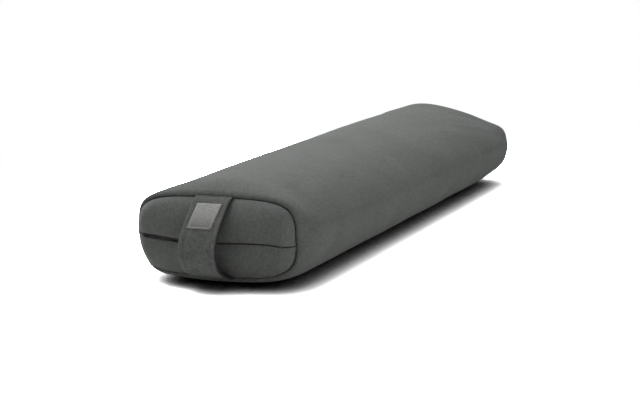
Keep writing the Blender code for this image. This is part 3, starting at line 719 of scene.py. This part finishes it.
def lipHeight(x):
    # half the gap between the lips, which stand apart on the left
    f = frontEnd
    share = min(max(-x / f["reach"], 0), 1)
    opening = (f["lipOpen"] - f["lipClosed"]) * min(share * f["lipSteep"], 1)
    return (f["lipClosed"] + opening * (1 - f["lipTaper"] + f["lipTaper"] * share)) / 2


def lipLine(x):
    # the height of the line between the lips, from the middle of the seam: the cloth wanders a little
    around = [np.interp(x + step, frontEnd["lipAt"], frontEnd["lipRise"]) for step in frontEnd["lipSmooth"]]
    return float(sum(around)) / len(around) - frontEnd["zipDrop"]


def frontDepth(x, z):
    # how far the front end stands out of the seam plane, at a place measured from the middle of the seam
    f = frontEnd
    n = bolster["seamRound"][0 if z > 0 else 1]
    u = abs(x) / (bolster["seamWidth"] / 2 - f["edge"])
    v = abs(z) / (bolster["seamHeight"] / 2 - f["edge"])
    reach = min((u ** n + v ** n) ** (1 / n), 1)
    sideways = u ** n / max(u ** n + v ** n, 1e-9)
    beyond = max(reach - f["straight"], 0) / (1 - f["straight"])
    bow = f["crown"] - (f["crown"] - f["zipCrown"]) * u * u
    valley = (bow - f["zipCrown"]) * math.exp(-((z - lipLine(x)) / f["valley"]) ** 2)
    rise, turn = crownShare(reach, f["square"], f["full"]), (1 - beyond ** 2) ** f["turn"]
    return (bow - valley) * (rise + (turn - rise) * sideways)


def makeFrontHalf(name, sign, node):
    columns, rows, rolls = frontEnd["columns"], frontEnd["rows"], len(frontEnd["lipRoll"])
    last = rolls + rows
    tall = bolster["seamHeight"] / 2 - frontEnd["edge"]

    def place(column, row):
        s = 2 * column / columns - 1
        s = math.copysign(eased(abs(s)), s)
        x = panelPlace(s, 0)[0]
        if row <= rolls:
            rise, depth = frontEnd["lipRoll"][min(row, rolls - 1)]
            z = (lipHeight(x) + rise + (frontEnd["lipTop"] if row == rolls else 0)) * sign + lipLine(x)
            return panelPoint(x, depth - frontDepth(x, z), z)
        t = eased((row - rolls) / rows) if row <= last else 1
        first = ((lipHeight(x) + frontEnd["faceStart"]) * sign + lipLine(x)) / tall
        x, z, _ = panelPlace(s, first + (sign - first) * t)
        y = -frontDepth(x, z)
        if row > last:
            depth, inset = frontEnd["seamSteps"][row - last - 1]
            y, z, x = depth, z - inset * sign, x * (1 - inset / frontEnd["reach"])
        return panelPoint(x, y, z)

    bm = shapedGrid(columns, last + len(frontEnd["seamSteps"]), place)
    setFlatSize(bm, bolster["seamWidth"], bolster["seamHeight"] / 2)
    faceAwayFrom(bm, behindFront)
    makePadded(name, bm, coverSuede, node, frontEnd)


domeHalf = (0.0915, 0.043)  # half the width and height that a dome's inset is taken from


def makeDome(name, node, material, end, facts):
    # a crowned end panel in one grid; end is -1 for the front and 1 for the rear
    steps = facts["steps"]

    def place(column, row):
        s, t = (2 * value / steps - 1 for value in (column, row))
        s, t = (math.copysign(eased(abs(value)), value) for value in (s, t))
        x, z, reach = panelPlace(s, t)
        x, z = x * (1 - facts["inset"] / domeHalf[0]), z * (1 - facts["inset"] / domeHalf[1])
        depth = facts["start"] - facts["crown"] * crownShare(reach, facts["square"], facts["full"])
        y = bolster["frontSeam"] + depth if end < 0 else bolster["rearSeam"] - depth
        return settle((x, y, bolster["seamCentre"] + z))

    bm = shapedGrid(steps, steps, place)
    setFlatSize(bm, bolster["seamWidth"], bolster["seamHeight"])
    faceAwayFrom(bm, (0, 0, bolster["seamCentre"]))
    makePadded(name, bm, material, node, facts)


makeFrontHalf("frontEndUpper", 1, "front_end_upper")
makeFrontHalf("frontEndLower", -1, "front_end_lower")
makeDome("rearEnd", "rear_end_panel", coverSuede, 1, rearEnd)
print("end panels made")

# The handle: an outer ply over a backing ply, sewn along both edges

handle = {"width": 0.044, "narrow": 0.005, "narrowReach": 0.03, "narrowCurve": 1.5,
          "sway": (0.0008, -0.0068, 0.0048), "lift": 0.0014, "liftFade": 0.12,
          "gap": 0.0006, "ply": 0.0011, "between": 0.0003, "leaves": 0.034, "front": (-0.3663, 0.046),
          "bottom": (-0.3286, 0.0118), "climb": 22, "pulls": (0.011, 0.014, 0.022, 0.026),
          "points": (14, 30, 30), "rows": 72, "columns": 28, "columnCurve": 0.8,
          "faceRise": 0.0003, "edgeRound": 0.0016, "edgeSink": 0.0011,
          "seamIn": 0.0063, "seamSink": 0.0006, "seamWide": 0.0009,
          "stitch": 0.0024, "pitch": 0.0040, "thread": 0.0008, "threadOut": 0.0001, "unsewn": 0.004,
          # the last three: how far the painted edge shade reaches in from each edge, and the shade at the
          # left and right edges
          "paintedShade": 0.0020, "leftShade": 0.6, "rightShade": 0.25}
strapFace = 2 * handle["ply"] + handle["between"]  # from the strap's path to the outer ply's face


def bezierLine(start, first, second, end, count):
    t = np.linspace(0, 1, count)[:, None]
    s = 1 - t
    return s ** 3 * start + 3 * s * s * t * first + 3 * s * t * t * second + t ** 3 * end


def handlePath():
    # the strap's inner face in Y and Z, from the top seam to the bottom seam
    points = handle["points"]
    top = []
    for height in np.linspace(bolster["seamHeight"] / 2 + handle["gap"], handle["leaves"], points[0]):
        y = bolster["frontSeam"] - frontDepth(0, height) - handle["gap"]
        top.append((y, bolster["seamCentre"] + height))
    top = np.array(top)
    leave = (top[-1] - top[-2]) / np.linalg.norm(top[-1] - top[-2])
    front, bottom = np.array(handle["front"]), np.array(handle["bottom"])
    climb = math.radians(handle["climb"])
    forward, up = np.array([-math.cos(climb), math.sin(climb)]), np.array([0.0, 1.0])
    pulls = handle["pulls"]
    upper = bezierLine(top[-1], top[-1] + leave * pulls[0], front + up * pulls[1], front, points[1])
    lower = bezierLine(front, front - up * pulls[2], bottom + forward * pulls[3], bottom, points[2])
    return evenLine(np.vstack([top[:-1], upper, lower[1:]]), handle["rows"] + 1)


def evenLine(line, count):
    run = lineRun(line)
    steps = np.linspace(0, run[-1], count)
    return np.stack([np.interp(steps, run, line[:, 0]), np.interp(steps, run, line[:, 1])], axis=1)


def lineRun(line):
    return np.concatenate([[0], np.cumsum(np.linalg.norm(np.diff(line, axis=0), axis=1))])


def lineSides(line):
    # the direction out of the strap's face at each point of its path
    steps = np.gradient(line, axis=0)
    steps /= np.linalg.norm(steps, axis=1)[:, None]
    return np.stack([steps[:, 1], -steps[:, 0]], axis=1)


strapLine = handlePath()
strapSides = lineSides(strapLine)
strapRun = lineRun(strapLine)


def strapPoint(run, x, out):
    # a point on the strap, run metres down its path, x across it and out of its inner face
    y, z = (np.interp(run, strapRun, strapLine[:, i]) for i in (0, 1))
    side = np.array([np.interp(run, strapRun, strapSides[:, i]) for i in (0, 1)])
    side /= np.linalg.norm(side)
    share, sway = run / strapRun[-1], handle["sway"]
    free = min(min(share, 1 - share) / handle["liftFade"], 1)  # the right edge stands off between the seams
    out += handle["lift"] * free * max(x / (handle["width"] / 2), 0) ** 2
    swayed = x + sway[0] + sway[1] * share + sway[2] * share ** 2
    return Vector((swayed, y + side[0] * out, z + side[1] * out))


def strapFacing(run, x, out):
    # the direction out of the strap's face at a point
    return (strapPoint(run, x, out + 0.001) - strapPoint(run, x, out)).normalized()


def strapWidth(run):
    # the strap is drawn in a little where it is sewn to the bottom seam
    near = max(1 - (strapRun[-1] - run) / handle["narrowReach"], 0)
    return handle["width"] - handle["narrow"] * near ** handle["narrowCurve"]


def strapRise(x):
    # how far the outer ply's face rises and sinks across the strap: stitch rows drawn in, edges rounded
    half = handle["width"] / 2
    row = half - handle["seamIn"]
    stitched = handle["seamSink"] * math.exp(-((abs(x) - row) / handle["seamWide"]) ** 2)
    edge = max(abs(x) - (half - handle["edgeRound"]), 0) / handle["edgeRound"]
    return handle["faceRise"] - stitched - handle["edgeSink"] * edge ** 2


def makeStrapPly(name, node, out, rounded):
    rows, columns = handle["rows"], handle["columns"]

    def place(column, row):
        share = 2 * column / columns - 1
        x = handle["width"] / 2 * math.copysign(abs(share) ** handle["columnCurve"], share)
        across = x * strapWidth(strapRun[row]) / handle["width"]
        return strapPoint(strapRun[row], across, out + (strapRise(x) if rounded else 0))

    bm = shapedGrid(columns, rows, place)
    setFlatSize(bm, handle["width"], strapRun[-1])
    faceAwayFrom(bm, behindFront)
    piece = makePiece(name, bm, strapSuede, [node])
    thicken(piece, handle["ply"])


def addStitch(bm, start, end, out, thickness, flatness=0.7):
    # one thread stitch between two points: a short rod, flatter than it is wide
    along = end - start
    side = along.cross(out).normalized()
    radius = thickness / 2
    rod = bmesh.ops.create_cone(bm, cap_ends=True, segments=6, radius1=radius, radius2=radius, depth=1)
    for vert in rod["verts"]:
        share = vert.co.z + 0.5
        vert.co = start + along * share + side * vert.co.x + out * (vert.co.y * flatness)


def makeStitching():
    bm = bmesh.new()
    row = handle["width"] / 2 - handle["seamIn"]
    for x in (-row, row):
        run, out = handle["unsewn"], strapFace + strapRise(x) + handle["threadOut"]
        while run < strapRun[-1] - handle["unsewn"]:
            across = x * strapWidth(run) / handle["width"]
            start, end = (strapPoint(place, across, out) for place in (run, run + handle["stitch"]))
            addStitch(bm, start, end, strapFacing(run, across, out), handle["thread"])
            run += handle["pitch"]
    bmesh.ops.recalc_face_normals(bm, faces=bm.faces)
    makePiece("strapStitching", bm, strapThread, ())


# painted shade along both edges of the strap, deepest on the right edge, where it stands for the shadow in
# the gap between the strap and the panel
paintedShade = handle["paintedShade"] / handle["width"]
shadeAlong(strapSuede, "X", handle["width"],
           ((0.0, handle["leftShade"]), (paintedShade, 1), (1 - paintedShade, 1), (1.0, handle["rightShade"])))
makeStrapPly("strapOuter", "handle_outer_ply", strapFace, True)
makeStrapPly("strapBacking", "handle_backing_ply", handle["ply"], False)
makeStitching()
print("handle made")

# The woven label, bare, with a row of stitches round it

label = {"width": 0.028, "height": 0.030, "drop": 0.0118, "askew": 0.0016, "thickness": 0.0006, "rows": 28,
         "columns": 24, "stitchIn": 0.0019, "stitchSink": 0.0003, "stitchWide": 0.0008, "stitch": 0.0017,
         "pitch": 0.0026, "thread": 0.0008, "threadOut": 0.0007,
         "paintedShades": ((0.0, 1.0), (0.55, 0.74), (1.0, 0.42))}


def labelSlant(run):
    # how far the label's rows step sideways, as it is sewn on a little askew
    return label["askew"] * (run - label["drop"]) / label["height"]


def makeLabel():
    def place(column, row):
        x = label["width"] * (column / label["columns"] - 0.5)
        run = label["drop"] + label["height"] * row / label["rows"]
        border = min(label["width"] / 2 - abs(x), run - label["drop"], label["drop"] + label["height"] - run)
        sewn = label["stitchSink"] * math.exp(-((border - label["stitchIn"]) / label["stitchWide"]) ** 2)
        out = strapFace + handle["faceRise"] + label["thickness"] - sewn
        return strapPoint(run, x - labelSlant(run), out)

    bm = shapedGrid(label["columns"], label["rows"], place)
    setFlatSize(bm, label["width"], label["height"])
    faceAwayFrom(bm, behindFront)
    piece = makePiece("wovenLabel", bm, labelWeave, ["handle_label"])
    thicken(piece, label["thickness"])


def makeLabelStitching():
    # a row of pale stitches round the label, a little in from its edge
    bm = bmesh.new()
    across, along = label["width"] / 2 - label["stitchIn"], label["height"] - 2 * label["stitchIn"]
    first, out = label["drop"] + label["stitchIn"], strapFace + label["threadOut"]
    corners = [(-across, first), (across, first), (across, first + along), (-across, first + along)]
    for (x0, run0), (x1, run1) in zip(corners, corners[1:] + corners[:1]):
        length = math.hypot(x1 - x0, run1 - run0)
        count = round(length / label["pitch"])
        for i in range(count):
            shares = (i / count, i / count + label["stitch"] / length)
            places = [(run0 + (run1 - run0) * share, x0 + (x1 - x0) * share) for share in shares]
            start, end = (strapPoint(run, x - labelSlant(run), out) for run, x in places)
            addStitch(bm, start, end, strapFacing(run0, x0, out), label["thread"])
    bmesh.ops.recalc_face_normals(bm, faces=bm.faces)
    makePiece("labelStitching", bm, labelThread, ())


# painted shade: the label gets darker towards its bottom, standing for less light on its lower part
shadeAlong(labelWeave, "Y", label["height"], label["paintedShades"])
makeLabel()
makeLabelStitching()
print("label made")

# The zip

zipper = {"tapeThickness": 0.0007, "tapeEnd": 0.0888, "tapeLength": 0.184, "columns": 76, "rows": 6,
          "closing": 0.004, "apart": 0.0002, "behind": 0.0035, "pitch": 0.0013, "toothWidth": 0.0009,
          "toothLength": 0.0026, "mesh": 0.0003}
zipHeight = bolster["seamCentre"] - frontEnd["zipDrop"]


def makeTape(name, node, side):
    # past the stops the tape follows the panel back to the side seam, and its inner edge meets the other tape
    low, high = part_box(node)
    columns, rows = zipper["columns"], zipper["rows"]
    innerEdge = low.z if side > 0 else high.z

    def place(column, row):
        x = zipper["tapeEnd"] * (2 * column / columns - 1)
        past = min(max(abs(x) - high.x, 0) / zipper["closing"], 1)
        near = 1 - row / rows if side > 0 else row / rows
        joined = (zipHeight + side * zipper["apart"] - innerEdge) * past * near
        z = low.z + (high.z - low.z) * row / rows + joined
        y = max(low.y, bolster["frontSeam"] - frontDepth(x, 0) + zipper["behind"])
        point = Vector((x, y, z))
        return point.lerp(settle(point), past)

    bm = shapedGrid(columns, rows, place)
    setFlatSize(bm, 2 * zipper["tapeEnd"], high.z - low.z)
    faceAwayFrom(bm, behindFront)
    piece = makePiece(name, bm, tapeWeave, [node])
    thicken(piece, zipper["tapeThickness"])


def makeCoil(name, node, side, shift):
    # one row of coil teeth, each a small rounded loop that reaches the middle of the zip
    low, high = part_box(node)
    bm = bmesh.new()
    count = round((high.x - low.x) / zipper["pitch"])
    size = Vector((zipper["toothWidth"], high.y - low.y, zipper["toothLength"]))
    z = zipHeight + side * (zipper["toothLength"] / 2 - zipper["mesh"])
    for i in range(count):
        tooth = bmesh.ops.create_icosphere(bm, subdivisions=1, radius=0.5)["verts"]
        bmesh.ops.scale(bm, vec=size, verts=tooth)
        x = low.x + (i + 0.5 + shift) * (high.x - low.x) / (count + 1)
        bmesh.ops.translate(bm, vec=(x, (low.y + high.y) / 2, z), verts=tooth)
    makePiece(name, bm, coilPlastic, [node])


makeTape("zipTapeUpper", "zip_tape_upper", 1)
makeTape("zipTapeLower", "zip_tape_lower", -1)
makeCoil("zipCoilUpper", "zip_teeth_upper", 1, 0.0)
makeCoil("zipCoilLower", "zip_teeth_lower", -1, 0.5)
for node, material in (("zip_slider", paintedZinc), ("zip_pull_tab", paintedZinc),
                       ("zip_stop_left", coilPlastic), ("zip_stop_right", coilPlastic)):
    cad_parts[node].material_slots[0].material = material
print("zip made")

# The cushion inside: liner, fibre and foam

inside = {"columns": 72, "step": 0.02}
linerSleeve = {"start": 0.010, "inset": 0.0026, "cloth": 0.0007, "fill": 0.8,
               "depths": (0.013, 0.017, 0.021, 0.026, 0.031, 0.037, 0.043)}
fibreSleeve = {"start": 0.019, "inset": 0.0042, "cloth": 0.013, "fill": 0.7,
               "depths": (0.026, 0.031, 0.037, 0.043)}
linerEnd = {"crown": 0.0105, "square": 2.6, "full": 0.8, "inset": 0.0012, "start": 0.0085, "cloth": 0.0006,
            "fill": 0.7, "steps": 30}
fibreEnd = {"crown": 0.0095, "square": 2.6, "full": 0.8, "inset": 0.0035, "start": 0.0105, "cloth": 0.006,
            "fill": 0.6, "steps": 30}
core = {"inset": (0.004, 0.012, 0.004), "longRound": 0.023, "longSteps": 8, "endRound": 0.008, "endSteps": 4,
        "fill": 1.0}


def makeSleeve(name, node, material, facts):
    bm = bodyTube(inside["columns"], facts["start"], facts["inset"], facts["depths"], inside["step"])
    pressPiece(bm)
    makePadded(name, bm, material, node, facts)


def roundEdges(bm, edges, offset, steps):
    bmesh.ops.bevel(bm, geom=edges, offset=offset, segments=steps, profile=0.5, affect="EDGES", material=-1)


def makeCore():
    low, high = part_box("foam_core")
    bm = bmesh.new()
    bmesh.ops.create_cube(bm, size=1)
    bmesh.ops.scale(bm, vec=high - low - Vector(core["inset"]), verts=bm.verts)
    bmesh.ops.translate(bm, vec=(low + high) / 2, verts=bm.verts)
    longEdges = [edge for edge in bm.edges if edge.calc_length() > bolster["length"] / 2]
    roundEdges(bm, longEdges, core["longRound"], core["longSteps"])
    endFaces = [face for face in bm.faces if len(face.verts) > 4]
    endEdges = [edge for edge in bm.edges if any(face in endFaces for face in edge.link_faces)]
    roundEdges(bm, endEdges, core["endRound"], core["endSteps"])
    piece = makePiece("foamCore", bm, foam, ["foam_core"], smooth=False)


makeSleeve("linerWrap", "liner_wrap", linerWeave, linerSleeve)
makeSleeve("fibreWrap", "batting_wrap", fibre, fibreSleeve)
makeDome("linerFront", "liner_front_end", linerWeave, -1, linerEnd)
makeDome("linerRear", "liner_rear_end", linerWeave, 1, linerEnd)
makeDome("fibreFront", "batting_front_pad", fibre, -1, fibreEnd)
makeDome("fibreRear", "batting_rear_pad", fibre, 1, fibreEnd)
makeCore()
print("inside made")
